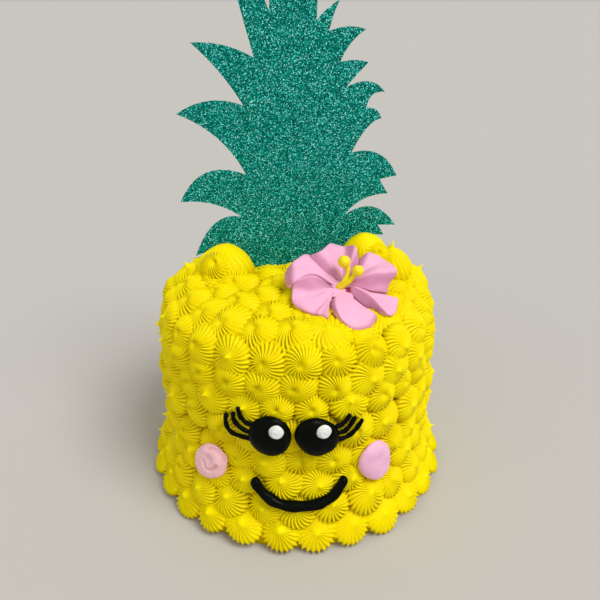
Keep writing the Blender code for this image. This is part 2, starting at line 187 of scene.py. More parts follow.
def finished(name, bm, finish, node_names):
    """The bmesh as a smooth piece on the cake, standing for these nodes, its faces outwards."""
    bmesh.ops.recalc_face_normals(bm, faces=bm.faces)
    if bm.calc_volume(signed=True) < 0 and all(edge.is_manifold for edge in bm.edges):
        bmesh.ops.reverse_faces(bm, faces=bm.faces)
    mesh = bpy.data.meshes.new(name)
    bm.to_mesh(mesh)
    bm.free()
    mesh.materials.append(finish)
    mesh.shade_smooth()
    made = new_object(name, mesh)
    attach(made, "root")
    if node_names:
        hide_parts(*node_names)
    return made


YELLOW = buttercream(
    "yellow_buttercream", (0.96, 0.80, 0.0), (0.68, 0.50, 0.0), 0.50, 0.06, 0.15
)

bm = bmesh.new()
outline = [bm.verts.new((point.x, 0, point.y)) for point in icing_profile(*COAT_STEPS)]
floor_middle = bm.verts.new((0, 0, 0))
for low, high in zip([floor_middle] + outline, outline):
    bm.edges.new((low, high))
bmesh.ops.spin(
    bm,
    geom=bm.verts[:] + bm.edges[:],
    axis=(0, 0, 1),
    steps=COAT_TURN_STEPS,
    angle=math.tau,
    use_merge=True,
)
bmesh.ops.remove_doubles(bm, verts=bm.verts, dist=WELD)
painted_shade = bm.verts.layers.float.new("painted_shade")
# The whole coat takes the deep tone: painted shade for the gaps between the stars
for vert in bm.verts:
    vert[painted_shade] = 1.0
finished("icing_coat", bm, YELLOW, ["cake"])

# Stars: buttercream pressed out of a closed nozzle with many teeth, in rows from the foot to the
# top. Low down they end in a soft nub, higher up most are open in the middle. Six taller ones stand
# on the top, and four lean on the two biggest of these.
STAR_RADIUS = 0.0094
STAR_HEIGHT = 0.0092
FOOT_STAR_GROWTH = 1.11
FOOT_STAR_TILT = 18.0
# Rows: (distance up the icing from its bottom edge, stars, degrees round the cake of the first)
STAR_ROWS = (
    (0.0106, 27, -6.2),
    (0.0235, 27, 0.9),
    (0.0385, 27, -5.6),
    (0.0520, 28, 2.7),
    (0.0675, 27, -4.0),
    (0.0830, 27, -6.5),
    (0.0950, 27, 1.0),
    (0.1065, 26, 2.7),
    (0.1180, 23, -1.5),
    (0.1315, 16, 6.0),
    (0.1450, 10, 0.0),
    (0.1585, 6, 20.0),
)
STAR_DRIFT = 0.0008
STAR_LEAN = 0.10
STAR_SIZE_SPREAD = 0.07
STAR_SEED = 8
HAND_SEED = 21
# Where the rows of the upper side, the shoulder and the crown's surroundings start
UPPER_ROW, SHOULDER_ROW, CROWN_ROW = 6, 8, 9
# Rows after these: the star in the middle of the top, the tall ones and the leaning ones
MIDDLE_ROW, TALL_ROW, LEANING_ROW = 12, 13, 14
# Tall stars: (place of its root, way it faces, radius, height)
TALL_STARS = (
    ((-0.0398, 0.0040, 0.1158), (-0.08, 0.20, 0.97), 0.0170, 0.0182),
    ((0.0366, 0.0070, 0.1186), (0.10, -0.35, 0.93), 0.0152, 0.0242),
    ((0.0500, 0.0040, 0.1128), (0.06, -0.10, 0.99), 0.0126, 0.0245),
    ((0.0602, 0.0040, 0.1094), (0.60, -0.10, 0.79), 0.0110, 0.0160),
    ((0.0560, 0.0030, 0.1105), (0.15, -0.05, 0.98), 0.0095, 0.0160),
    ((-0.0560, 0.0040, 0.1100), (-0.35, -0.10, 0.93), 0.0105, 0.0155),
)
# Leaning stars, in the same form
LEANING_STARS = (
    ((-0.0330, -0.0105, 0.1150), (0.10, -0.62, 0.78), 0.0112, 0.0098),
    ((-0.0480, -0.0055, 0.1160), (-0.40, -0.50, 0.77), 0.0108, 0.0098),
    ((-0.0428, -0.0038, 0.1235), (-0.18, -0.70, 0.69), 0.0085, 0.0105),
    ((0.0418, -0.0022, 0.1290), (0.35, -0.62, 0.70), 0.0085, 0.0105),
)
RIDGES = 24
RIDGE_STEPS = 3
RIDGE_DEPTH = 0.0022
# From the peak to the buried root: shares of radius and height, and of the grooves inward and down
NUBBED_SECTION = (
    (0.00, 1.00, 0.0, 0.00),
    (0.05, 0.92, 0.0, 0.00),
    (0.12, 0.84, 0.0, 0.05),
    (0.22, 0.80, 0.0, 0.30),
    (0.34, 0.78, 0.0, 0.65),
    (0.50, 0.75, 0.0, 0.80),
    (0.68, 0.70, 0.1, 1.00),
    (0.85, 0.62, 0.2, 1.00),
    (1.01, 0.49, 0.6, 0.85),
    (1.12, 0.30, 0.9, 0.30),
    (1.10, 0.06, 0.9, 0.00),
    (0.88, -0.25, 0.2, 0.00),
    (0.00, -0.30, 0.0, 0.00),
)
# Open in the middle, with long ridges from the hollow to the rim
OPEN_SECTION = (
    (0.00, 0.60, 0.0, 0.00),
    (0.06, 0.63, 0.0, 0.10),
    (0.15, 0.74, 0.0, 0.45),
    (0.27, 0.82, 0.0, 0.90),
    (0.41, 0.80, 0.0, 1.10),
    (0.56, 0.73, 0.0, 1.20),
    (0.71, 0.64, 0.1, 1.25),
    (0.86, 0.52, 0.3, 1.20),
    (1.00, 0.37, 0.7, 1.00),
    (1.13, 0.18, 1.0, 0.50),
    (1.14, -0.02, 0.9, 0.00),
    (0.90, -0.25, 0.2, 0.00),
    (0.00, -0.30, 0.0, 0.00),
)
# The two big ones are round and smooth over the top
DOME_SECTION = (
    (0.00, 0.97, 0.0, 0.00),
    (0.04, 0.97, 0.0, 0.00),
    (0.12, 0.96, 0.0, 0.00),
    (0.26, 0.93, 0.0, 0.05),
    (0.42, 0.86, 0.0, 0.20),
    (0.58, 0.78, 0.0, 0.40),
    (0.73, 0.66, 0.1, 0.55),
    (0.87, 0.49, 0.3, 0.60),
    (0.98, 0.26, 0.5, 0.40),
    (1.04, 0.00, 1.0, 0.00),
    (1.02, -0.20, 1.0, 0.00),
    (0.80, -0.50, 0.2, 0.00),
    (0.00, -0.55, 0.0, 0.00),
)
DOME_RADIUS = 0.0130
# Row by row: how many are open, how deep the grooves are, and how much painted shade lies in them
OPEN_SHARES = (0.0, 0.2, 0.25, 0.4, 0.6, 0.75, 0.85, *[0.9] * 6, 0.0, 1.0)
GROOVE_SHARES = (0.75, *[1.15] * 7, *[1.3225] * 4, 1.0, 1.0, 1.0)
PAINTED_GROOVE_SHADES = (0.42, *[0.95] * 4, *[0.60] * 10)
# A hollow middle gets painted shade, as far out as this share of the radius
HOLLOW_REACH = 0.25
PAINTED_HOLLOW_SHADE = 0.45
# Painted shade on a star above each share of its height: none high up, some lower, full on and
# under the rim
PAINTED_RIM_SHADES = ((0.3, 0.0), (0.1, 0.4), (-1.0, 1.0))
# Height of the nub as a share of the star's: of most stars, of the few sharp ones, and of others
NUB = (0.84, 1.02)
SHARP_NUB = (1.08, 1.24)
SHARP_SHARE = 0.14
FOOT_NUB = 0.86
TALL_NUB = 1.06
# Degrees by which the ridges turn from the middle to the rim
FOOT_SWIRL = (0, 15)
SWIRL = (16, 42)
GROOVE_SPREAD = (0.65, 1.2)
PULL = 0.17
RIM_WAVE = 0.035
# Lumps: their fineness and their size
STAR_LUMPS = (330, 0.00022)
# By zone, what a star's own height and radius are multiplied by
FOOT_FLATNESS = 0.84
SIDE_TALLNESS, UPPER_TALLNESS, SHOULDER_TALLNESS = (0.88, 1.06), (0.90, 1.15), (0.85, 1.10)
SIDE_GROWTH = (0.95, 1.08)
SHOULDER_GROWTH = 1.22
# On the side the stars drift and tilt a little and hang over like shingles, by these degrees
SIDE_DRIFT = 0.0010
SIDE_TILT = 0.08
SHINGLE = 11.0
# Higher up they lean (outward, sideways), to the left or, from this x on, less and to the right
UPPER_LEAN = (0.15, 0.08)
SHOULDER_LEAN = (0.25, 0.12)
PARTING_X = 0.02
RIGHT_SHARE = 0.4
# Round the foot of the crown the stars stand lower: (y where that starts, slope) at front and back
SINK_DEPTH = 0.006
SINK_FRONT = (-0.006, 0.42)
SINK_BACK = (0.036, 0.75)
# No star is sharp this close to the flower
FLOWER_SPOT = Vector((0.025, -0.035))
FLOWER_REACH = 0.045
FLOWER_LEVEL = 0.09
FINE_PROFILE = icing_profile(48, 24, 24)


def up_the_icing(distance):
    """Point and outward normal of the outline, this far up from the bottom edge."""
    left = distance
    for low, high in zip(FINE_PROFILE, FINE_PROFILE[1:]):
        step = high - low
        if left <= step.length:
            break
        left -= step.length
    return low + step * min(1.0, left / step.length), Vector((step.y, -step.x)).normalized()


def star_spots():
    """Every star as (position, outward direction, radius, height, roll, row)."""
    draw = random.Random(STAR_SEED)
    spots = []
    for row, (distance, count, azimuth) in enumerate(STAR_ROWS):
        for star in range(count):
            point, normal = up_the_icing(distance + draw.uniform(-STAR_DRIFT, STAR_DRIFT))
            angle = math.radians(azimuth + 360 * star / count)
            angle += draw.uniform(-STAR_DRIFT, STAR_DRIFT) / point.x
            ahead = Vector((math.sin(angle), -math.cos(angle), 0.0))
            place = ahead * point.x + Vector((0.0, 0.0, point.y))
            lean = Vector([draw.uniform(-STAR_LEAN, STAR_LEAN) for axis in range(3)])
            lean.z += math.tan(math.radians(FOOT_STAR_TILT)) if row == 0 else 0.0
            facing = (ahead * normal.x + Vector((0.0, 0.0, normal.y)) + lean).normalized()
            size = 1 + draw.uniform(-STAR_SIZE_SPREAD, STAR_SIZE_SPREAD)
            size *= FOOT_STAR_GROWTH if row == 0 else 1.0
            tall = STAR_HEIGHT * (1 + draw.uniform(-STAR_SIZE_SPREAD, STAR_SIZE_SPREAD))
            roll = draw.uniform(0, math.pi)
            spots.append((place, facing, STAR_RADIUS * size, tall, roll, row))
    middle = Vector((0.0, 0.0, SHOULDER_HEIGHT + SHOULDER_BEND + TOP_RISE))
    spots.append((middle, Vector((0, 0, 1)), STAR_RADIUS, STAR_HEIGHT, 0.0, MIDDLE_ROW))
    for row, stars in ((TALL_ROW, TALL_STARS), (LEANING_ROW, LEANING_STARS)):
        for root, facing, radius, height in stars:
            spots.append((Vector(root), Vector(facing).normalized(), radius, height, 0.0, row))
    return spots


def lump(verts, fineness, size):
    """Shifts these vertices a little, so that soft lumps show."""
    for vert in verts:
        vert.co += noise.noise_vector(vert.co * fineness) * size


def star_form(hand, place, radius, row):
    """The outline that a star has, and the share of its height that its nub reaches."""
    nub = hand.uniform(*NUB) if row else FOOT_NUB
    section = OPEN_SECTION if hand.random() < OPEN_SHARES[row] else NUBBED_SECTION
    near_flower = (place.xy - FLOWER_SPOT).length < FLOWER_REACH and place.z > FLOWER_LEVEL
    if row and hand.random() < SHARP_SHARE and not near_flower:
        nub = hand.uniform(*SHARP_NUB)
        section = NUBBED_SECTION
    if row == TALL_ROW:
        nub = TALL_NUB
    if radius > DOME_RADIUS:
        nub, section = 1.0, DOME_SECTION
    return section, nub


def star_stance(hand, place, facing, radius, height, row):
    """A star's place, direction, radius and height once it is piped among its neighbours."""
    outward = Vector((place.x, place.y, 0)).normalized()
    sideways = Vector((-1.0 if place.x < PARTING_X else RIGHT_SHARE, 0.0, 0.0))
    if row == 0:
        height *= FOOT_FLATNESS
    elif row < UPPER_ROW:
        radius *= hand.uniform(*SIDE_GROWTH)
        height *= hand.uniform(*SIDE_TALLNESS)
        place = place + Vector((hand.uniform(-1, 1), 0, hand.uniform(-1, 1))) * SIDE_DRIFT
        tilt = Vector([hand.uniform(-1, 1) for axis in range(3)]) * SIDE_TILT
        facing = facing + tilt + Vector((0, 0, math.tan(math.radians(SHINGLE))))
    elif row < SHOULDER_ROW:
        height *= hand.uniform(*UPPER_TALLNESS)
        facing = facing + outward * UPPER_LEAN[0] + sideways * UPPER_LEAN[1]
    elif row < MIDDLE_ROW:
        radius *= SHOULDER_GROWTH
        height *= hand.uniform(*SHOULDER_TALLNESS)
        facing = facing + outward * SHOULDER_LEAN[0] + sideways * SHOULDER_LEAN[1]
    if CROWN_ROW <= row <= MIDDLE_ROW:
        from_front = SINK_FRONT[1] * (place.y - SINK_FRONT[0])
        from_back = SINK_BACK[1] * (SINK_BACK[0] - place.y)
        place = place - Vector((0, 0, max(0.0, min(SINK_DEPTH, from_front, from_back))))
    return place, facing.normalized(), radius, height


def pipe_star(hand, spot):
    """One star's mesh, pressed out, twisted a little and pulled away: no two are quite the same."""
    place, facing, radius, height, roll, row = spot
    swirl = math.radians(hand.uniform(*(SWIRL if row else FOOT_SWIRL)))
    depth = RIDGE_DEPTH * hand.uniform(*GROOVE_SPREAD) * radius / STAR_RADIUS * GROOVE_SHARES[row]
    pull = Vector((hand.uniform(-1, 1), hand.uniform(-0.6, 1.4), 0.0)) * PULL * radius
    section, nub = star_form(hand, place, radius, row)
    place, facing, radius, height = star_stance(hand, place, facing, radius, height, row)
    wave, shift = hand.uniform(0.0, RIM_WAVE), hand.uniform(0, math.tau)
    rings = len(section) - 1
    bm = bmesh.new()
    painted_shade = bm.verts.layers.float.new("painted_shade")
    bmesh.ops.create_uvsphere(bm, u_segments=RIDGES * RIDGE_STEPS, v_segments=rings, radius=1.0)
    for vert in bm.verts:
        ring = round(math.acos(max(-1.0, min(1.0, vert.co.z))) / math.pi * rings)
        around = math.atan2(vert.co.y, vert.co.x)
        reach, rise, inward, down = section[ring]
        # The foot's stars have thin teeth between wide grooves, the others thick ridges
        groove = abs(math.sin(around * RIDGES / 2))
        groove = 1 - groove if row else groove
        out = radius * reach * (1 + wave * math.sin(2 * around + shift)) - depth * groove * inward
        up = height * (rise * nub if ring == 0 else rise) - depth * groove * down
        around += swirl * reach
        lean = pull * max(0.0, 1 - reach) ** 2
        vert.co = lean + Vector((out * math.cos(around), out * math.sin(around), up))
        # Painted shade: darker in the grooves, in a hollow middle, and on and under the rim
        shade = PAINTED_GROOVE_SHADES[row] * groove * max(inward, down)
        if section == OPEN_SECTION:
            shade += PAINTED_HOLLOW_SHADE * max(0.0, 1 - reach / HOLLOW_REACH)
        shade += next(low_shade for above, low_shade in PAINTED_RIM_SHADES if rise > above)
        vert[painted_shade] = min(1.0, shade)
    turn = facing.to_track_quat("Z", "Y").to_matrix().to_4x4()
    bm.transform(Matrix.Translation(place) @ turn @ Matrix.Rotation(roll, 4, "Z"))
    lump(bm.verts, *STAR_LUMPS)
    for vert in bm.verts:
        vert.co.z = max(0.0, vert.co.z)
    star = bpy.data.meshes.new("star")
    bm.to_mesh(star)
    bm.free()
    return star


hand = random.Random(HAND_SEED)
# Without a seed the lumps would differ from run to run
noise.seed_set(STAR_SEED)
spots = star_spots()
star_pieces = []
for name, first, last in (("stars_low", 0, 3), ("stars_high", 4, 7), ("stars_top", 8, 14)):
    bm = bmesh.new()
    for spot in spots:
        if first <= spot[-1] <= last:
            star = pipe_star(hand, spot)
            bm.from_mesh(star)
            bpy.data.meshes.remove(star)
    star_pieces.append(finished(name, bm, YELLOW, ["cake"]))


# Eyes: glossy black icing dabbed over the stars, which it presses flat and flows between.
# Neither is quite round; each has a few small pits.
EYE_SEAT = 0.0084
EYE_THICKNESS = 0.0040
EYE_FULLNESS = 3.2
EYE_LUMPS = (160, 0.0005)
EYE_STEPS = (72, 14)
# A centre is (degrees round the cake, height), and a rim its distance from there in mm at every
# 30 degrees, counterclockwise from the right
EYES = {
    "left": {
        "centre": (-8.9, 0.0706),
        "rim": (10.3, 10.6, 10.9, 10.9, 10.6, 10.5, 10.4, 10.9, 11.1, 11.3, 11.1, 10.5),
    },
    "right": {
        "centre": (7.3, 0.0703),
        "rim": (10.8, 10.1, 9.8, 10.4, 11.4, 11.4, 10.8, 10.1, 10.5, 10.9, 10.8, 11.1),
    },
}
# Under its rim a piece tucks in to this share of its radius, this much lower, then runs down
TUCK = 0.84
UNDERCUT = 0.0016
SKIRT = 0.0030
# Stars are pressed to this far under a piece's seat, less and less beyond its rim. Distances from
# its middle are shares of the rim's.
PRESS_GAP = 0.0010
PRESS_EASE = 0.006
PRESS_EASE_FROM = 1.2
PRESS_REACH = 1.7
PRESS_HEIGHT = 0.022
FACE_BACK = -0.02


def icing(name, colour, roughness, specular, pit_depth):
    """Smooth piping icing in one colour, with soft unevenness and small pits."""
    made, tree, shader = new_finish(name)
    place = node(tree, "TexCoord", {}).outputs["Object"]
    cloud = node(tree, "TexNoise", {"Vector": place, "Scale": 160.0, "Detail": 4.0})
    shade = [part * 0.78 for part in colour]
    shade_icing(tree, cloud.outputs["Fac"], colour, shade, cloud.outputs["Fac"], roughness, 0.08)
    roughen(
        tree,
        place,
        grain=(600.0, 3.0),
        grain_height=0.5,
        bubbles=330.0,
        pit=(0.04, 0.20, 2.0),
        rarity=0.90,
        strength=0.6,
        depth=pit_depth,
    )
    shader.inputs["Specular IOR Level"].default_value = specular
    return made


def wrap(bm, azimuth, height):
    """Lays a flat piece on the cake: x along its side, y up, z out from the bare icing."""
    for vert in bm.verts:
        flat = vert.co.copy()
        reach = side_radius(height + flat.y)
        angle = math.radians(azimuth) + flat.x / (reach + STAR_HEIGHT)
        out = reach + flat.z
        vert.co = (out * math.sin(angle), -out * math.cos(angle), height + flat.y)


def unwrapped(point, azimuth, height):
    """A point of the cake as (x along its side, y up, z out) from this place on it."""
    reach = side_radius(point.z)
    angle = math.atan2(point.x, -point.y) - math.radians(azimuth)
    return Vector((angle * (reach + STAR_HEIGHT), point.z - height, point.xy.length - reach))


def on_curve(before, start, end, after, t):
    """The value or point this share of the way from start to end, on one curve through all."""
    curve = (end - before) * t + (before * 2 - start * 5 + end * 4 - after) * t**2
    curve += (start * 3 - before - end * 3 + after) * t**3
    return start + curve / 2


def uneven_rim(distances):
    """A smooth rim through these distances in mm, as a function of the angle."""

    def rim(around):
        spot = (around % math.tau) / math.tau * len(distances)
        index = int(spot)
        nearby = [distances[(index + step) % len(distances)] for step in (-1, 0, 1, 2)]
        return on_curve(*nearby, spot - index) / 1000

    return rim


def press_stars(azimuth, height, rim, seat):
    """Flattens the stars under a piece with this rim, down to its seat, easing off beyond it."""
    for piece in star_pieces:
        for vert in piece.data.vertices:
            if vert.co.y > FACE_BACK or abs(vert.co.z - height) > PRESS_HEIGHT:
                continue
            flat = unwrapped(vert.co, azimuth, height)
            away = math.hypot(flat.x, flat.y) / rim(math.atan2(flat.y, flat.x))
            over = flat.z - seat + PRESS_GAP - PRESS_EASE * max(0.0, away - PRESS_EASE_FROM)
            if away < PRESS_REACH and over > 0:
                vert.co.xy *= 1 - over / vert.co.xy.length


def mound(outline, height, sides, rings):
    """A flat-backed mound: outline(angle) is its rim's radius, height(share, angle) its top."""
    bm = bmesh.new()
    painted_shade = bm.verts.layers.float.new("painted_shade")
    bmesh.ops.create_uvsphere(bm, u_segments=sides, v_segments=rings + 2, radius=1.0)
    for vert in bm.verts:
        ring = round(math.acos(max(-1.0, min(1.0, vert.co.z))) / math.pi * (rings + 2))
        around = math.atan2(vert.co.y, vert.co.x)
        share = math.sin(min(1.0, ring / rings) * math.pi / 2)
        low = height(share, around)
        if ring > rings:
            share = TUCK if ring == rings + 1 else 0.0
            low = low - UNDERCUT if share else -SKIRT
        reach = outline(around) * share
        vert.co = (reach * math.cos(around), reach * math.sin(around), low)
        vert[painted_shade] = 0.0
    return bm


BLACK = icing("black_icing", (0.002, 0.003, 0.002), 0.30, 0.05, 0.0004)

for side, shape in EYES.items():
    press_stars(*shape["centre"], uneven_rim(shape["rim"]), EYE_SEAT)
    bm = mound(
        uneven_rim(shape["rim"]),
        lambda share, around: EYE_SEAT + EYE_THICKNESS * (1 - share**EYE_FULLNESS) ** 0.5,
        *EYE_STEPS,
    )
    fineness, size = EYE_LUMPS
    for vert in bm.verts:
        vert.co.z += noise.noise(vert.co * fineness) * size
    wrap(bm, *shape["centre"])
    finished(f"black_eye_{side}", bm, BLACK, [f"eye_{side}"])

# Highlights: a small dot of stiff white icing on each eye, with a faint swirl where the
# nozzle turned as it was lifted.
DOT_RADIUS = (0.0034, 0.0037)
DOT_TOP = 0.0136
DOT_DROP = 0.0016
DOT_FOOT = 0.0108
DOT_WOBBLE = 0.012
DOT_SWIRL = 0.00016
SWIRL_TURNS = 11
DOT_STEPS = (48, 12)
DOTS = {
    "left": {"centre": (-6.3, 0.0756), "phase": 0.6},
    "right": {"centre": (9.1, 0.0755), "phase": 1.9},
}


def oval(half, wobble, phase):
    """An oval rim that wanders a little, as a function of the angle."""

    def rim(around):
        plain = 1 / math.hypot(math.cos(around) / half[0], math.sin(around) / half[1])
        uneven = math.sin(5 * around + phase) + 0.6 * math.sin(9 * around + 2 * phase)
        return plain * (1 + wobble * uneven)

    return rim


def dot_height(share, around):
    """How far out the dot's face is, this share of the way to its rim."""
    return DOT_TOP - DOT_DROP * share**4 + DOT_SWIRL * math.sin(share * SWIRL_TURNS - around)


WHITE = icing("white_icing", (0.84, 0.86, 0.83), 0.55, 0.10, 0.0003)

for side, shape in DOTS.items():
    bm = mound(oval(DOT_RADIUS, DOT_WOBBLE, shape["phase"]), dot_height, *DOT_STEPS)
    for vert in bm.verts:
        vert.co.z = max(DOT_FOOT, vert.co.z)
    wrap(bm, *shape["centre"])
    finished(f"white_dot_{side}", bm, WHITE, [f"eye_dot_{side}"])

# Lashes and mouth: ropes of the same black icing from a round nozzle, laid over the stars.
# Their thickness wavers, their ends are round, and the lashes run into the eyes.
STROKE_OUT = 0.0087
STROKE_STEPS = 8
MOUTH_RADIUS = 0.00245
LASH_RADIUS = 0.0011
# The rings that round off an end, in radii from it, and the squared width it starts at
END_RINGS = (0.0, 0.06, 0.2, 0.45, 0.75)
END_FLAT = 0.02
WAVER_RATE = 1.3
# Lumps: their fineness, and their size as a share of the radius
STROKE_LUMPS = (240, 0.12)
# How far a lash runs on into its eye, in degrees, and down, in metres
LASH_RUN_IN = 2.2
LASH_DIP = 0.0003
# Strokes run through these points (degrees round the cake, height)
MOUTH = (
    (-15.1, 0.0425),
    (-13.4, 0.0382),
    (-10.2, 0.0334),
    (-5.3, 0.0299),
    (1.3, 0.0290),
    (8.0, 0.0299),
    (12.9, 0.0330),
    (15.9, 0.0385),
    (17.4, 0.0427),
)
LASHES = {
    "left_1": ((-24.7, 0.0790), (-24.9, 0.0730), (-22.8, 0.0688), (-17.0, 0.0676)),
    "left_2": ((-22.1, 0.0808), (-21.6, 0.0760), (-19.4, 0.0730), (-17.1, 0.0716)),
    "left_3": ((-20.3, 0.0840), (-19.2, 0.0790), (-17.9, 0.0770), (-16.3, 0.0760)),
    "right_1": ((23.6, 0.0762), (21.1, 0.0714), (18.7, 0.0688), (16.2, 0.0677)),
    "right_2": ((20.8, 0.0787), (19.0, 0.0746), (17.8, 0.0727), (16.4, 0.0715)),
    "right_3": ((19.0, 0.0805), (17.6, 0.0781), (16.6, 0.0766), (15.4, 0.0754)),
}


def smooth_route(points, steps):
    """Points along one smooth curve through these."""
    ends = [points[0] * 2 - points[1], *points, points[-1] * 2 - points[-2]]
    route = []
    for before, start, end, after in zip(ends, ends[1:], ends[2:], ends[3:]):
        for step in range(steps):
            route.append(on_curve(before, start, end, after, step / steps))
    return route + [points[-1]]


def piped_rope(route, radius, sides, waver, phase):
    """A rope of icing along this route: each ring is extruded from the last, the ends are round."""
    lengths = [0.0]
    for start, end in zip(route, route[1:]):
        lengths.append(lengths[-1] + (end - start).length)
    whole = lengths[-1]
    stops = [radius * share for share in END_RINGS]
    stops += [whole - stop for stop in reversed(stops)]
    stops += [stop for stop in lengths if radius < stop < whole - radius]
    bm = bmesh.new()
    bm.verts.layers.float.new("painted_shade")
    ring = bmesh.ops.create_circle(bm, cap_ends=True, segments=sides, radius=1.0)["verts"]
    edges = list(bm.edges)
    last = Matrix.Identity(4)
    for stop in sorted(stops):
        index = max(i for i, length in enumerate(lengths) if length <= stop)
        index = min(index, len(route) - 2)
        ahead = route[index + 1] - route[index]
        point = route[index] + ahead * ((stop - lengths[index]) / ahead.length)
        near = min(stop, whole - stop) / radius
        width = math.sqrt(max(END_FLAT, 1 - max(0.0, 1 - near) ** 2))
        width *= radius * (1 + waver * math.sin(stop / radius * WAVER_RATE + phase))
        turn = ahead.to_track_quat("Z", "Y").to_matrix().to_4x4()
        placed = Matrix.Translation(point) @ turn @ Matrix.Scale(width, 4)
        if stop > 0:
            grown = bmesh.ops.extrude_edge_only(bm, edges=edges)["geom"]
            ring = [item for item in grown if isinstance(item, bmesh.types.BMVert)]
            edges = [item for item in grown if isinstance(item, bmesh.types.BMEdge)]
        bmesh.ops.transform(bm, matrix=placed @ last.inverted(), verts=ring)
        last = placed
    bmesh.ops.contextual_create(bm, geom=edges)
    return bm


def stroke(name, places, radius, sides, waver, phase, node_name):
    """A rope of black icing on the face through these places, standing for this node."""
    azimuth, height = places[len(places) // 2]
    reach = side_radius(height) + STAR_HEIGHT
    flat = []
    for place in places:
        x = math.radians(place[0] - azimuth) * reach
        flat.append(Vector((x, place[1] - height, STROKE_OUT)))
    bm = piped_rope(smooth_route(flat, STROKE_STEPS), radius, sides, waver, phase)
    wrap(bm, azimuth, height)
    fineness, share = STROKE_LUMPS
    lump(bm.verts, fineness, radius * share)
    finished(name, bm, BLACK, [node_name])


stroke("piped_mouth", MOUTH, MOUTH_RADIUS, 20, 0.05, 0.4, "mouth")
for number, (name, places) in enumerate(LASHES.items()):
    run_in = places[-1][0] + (LASH_RUN_IN if name.startswith("left") else -LASH_RUN_IN)
    places += ((run_in, places[-1][1] - LASH_DIP),)
    stroke(f"piped_lash_{name}", places, LASH_RADIUS, 12, 0.10, number, f"lash_{name}")

# Cheeks: dabs of pink icing, the left one paler. It shows the spiral of the nozzle and was cut
# straight at its upper right; the right one was smoothed to an egg.
CHEEK_SEAT = 0.0068
CHEEK_THICKNESS = 0.0040
CHEEK_FULLNESS = 3
CHEEK_LUMPS = (180, 0.0005)
CHEEK_STEPS = (96, 30)
CHEEKS = {
    "left": {
        "centre": (-34.5, 0.0433),
        "rim": (10.4, 11.8, 12.0, 10.6, 8.8, 8.7, 10.4, 12.4, 12.6, 10.6, 9.8, 10.2),
    },
    "right": {
        "centre": (31.0, 0.0454),
        "rim": (10.0, 9.9, 10.8, 12.5, 12.0, 10.9, 10.0, 9.6, 10.2, 11.6, 12.7, 11.4),
    },
}
# The left cheek's two grooves and its pit, as (x, y) in mm from the middle of the cheek
GROOVES = (
    ((1.2, 8.9), (4.0, 9.8), (6.4, 9.2), (8.2, 7.8), (9.4, 6.4), (10.2, 3.9)),
    ((6.2, 1.1), (4.8, -1.1), (2.6, -3.0), (0.7, -3.3), (-0.7, -2.3), (-1.5, 1.0)),
)
GROOVE_WIDTH = 0.85
PIT = (1.6, 3.9)
PIT_WIDTH = 2.6
PIT_SHARE = 0.8
# How deep the marks are cut, and the painted shade laid in them
MARK_DEPTH = 0.0011
PAINTED_MARK_SHADE = 0.45
GROOVE_ROUTES = [smooth_route([Vector(knot) for knot in groove], 3) for groove in GROOVES]

CHEEK_PINKS = {
    "left": buttercream(
        "cheek_buttercream_left", (0.95, 0.57, 0.61), (0.68, 0.32, 0.36), 0.52, 0.15, 0.10
    ),
    "right": buttercream(
        "cheek_buttercream_right", (0.88, 0.49, 0.68), (0.62, 0.27, 0.41), 0.52, 0.15, 0.10
    ),
}


def mark_depth(point):
    """How deep the nozzle's mark is at this point of the left cheek in mm, from 0 to 1."""
    nearest = math.inf
    for knots in GROOVE_ROUTES:
        for start, end in zip(knots, knots[1:]):
            along = (point - start).dot(end - start) / (end - start).length_squared
            spot = start.lerp(end, max(0.0, min(1.0, along)))
            nearest = min(nearest, (point - spot).length)
    groove = math.exp(-((nearest / GROOVE_WIDTH) ** 2))
    pit = PIT_SHARE * math.exp(-(((point - Vector(PIT)).length / PIT_WIDTH) ** 2))
    return max(groove, pit)


for side, shape in CHEEKS.items():
    press_stars(*shape["centre"], uneven_rim(shape["rim"]), CHEEK_SEAT)
    bm = mound(
        uneven_rim(shape["rim"]),
        lambda share, around: CHEEK_SEAT + CHEEK_THICKNESS * (1 - share**CHEEK_FULLNESS) ** 0.5,
        *CHEEK_STEPS,
    )
    painted_shade = bm.verts.layers.float["painted_shade"]
    fineness, size = CHEEK_LUMPS
    for vert in bm.verts:
        # The left cheek's grooves and pit are cut in and also get painted shade
        depth = mark_depth(vert.co.xy * 1000) if side == "left" and vert.co.z > 0 else 0.0
        vert[painted_shade] = PAINTED_MARK_SHADE * depth
        vert.co.z += noise.noise(vert.co * fineness) * size - MARK_DEPTH * depth
    wrap(bm, *shape["centre"])
    finished(f"pink_cheek_{side}", bm, CHEEK_PINKS[side], [f"cheek_{side}"])

# Flower: six ruffled petals of pink buttercream from a petal nozzle, thin at the rim, laid over
# the stars of the shoulder. Their folds start at the throat, whose hole is dabbed dark red as
# painted shade.
FLOWER_FRAME = (
    Matrix.Translation((0.0245, -0.0280, 0.1236))
    @ Matrix.Rotation(math.radians(15.0), 4, "Z")
    @ Matrix.Rotation(math.radians(28.0), 4, "X")
)
PETAL_THICKNESS = 0.0020
# Steps between two ribs and between two points of a rib
PETAL_STEPS = (7, 5)
PETAL_LUMPS = (220, 0.0004)
# Shares of the thickness: in the throat, and what is lost on the way out to this distance
THICK_SHARE = 1.15
THINNING = 0.6
THIN_DISTANCE = 0.028
# Painted shade: faces that slope down or, less so, to the left, away from the key light, take the
# deep pink
FOLD_TO_LEFT = 0.8
FOLD_FROM = 0.08
FOLD_CONTRAST = 1.7
PAINTED_FOLD_SHADE = 0.85
# Each rib starts in the throat: at this point in mm and a share of the rib's first point
THROAT = (0.4, -0.5, -1.5)
THROAT_SHARE = 0.35
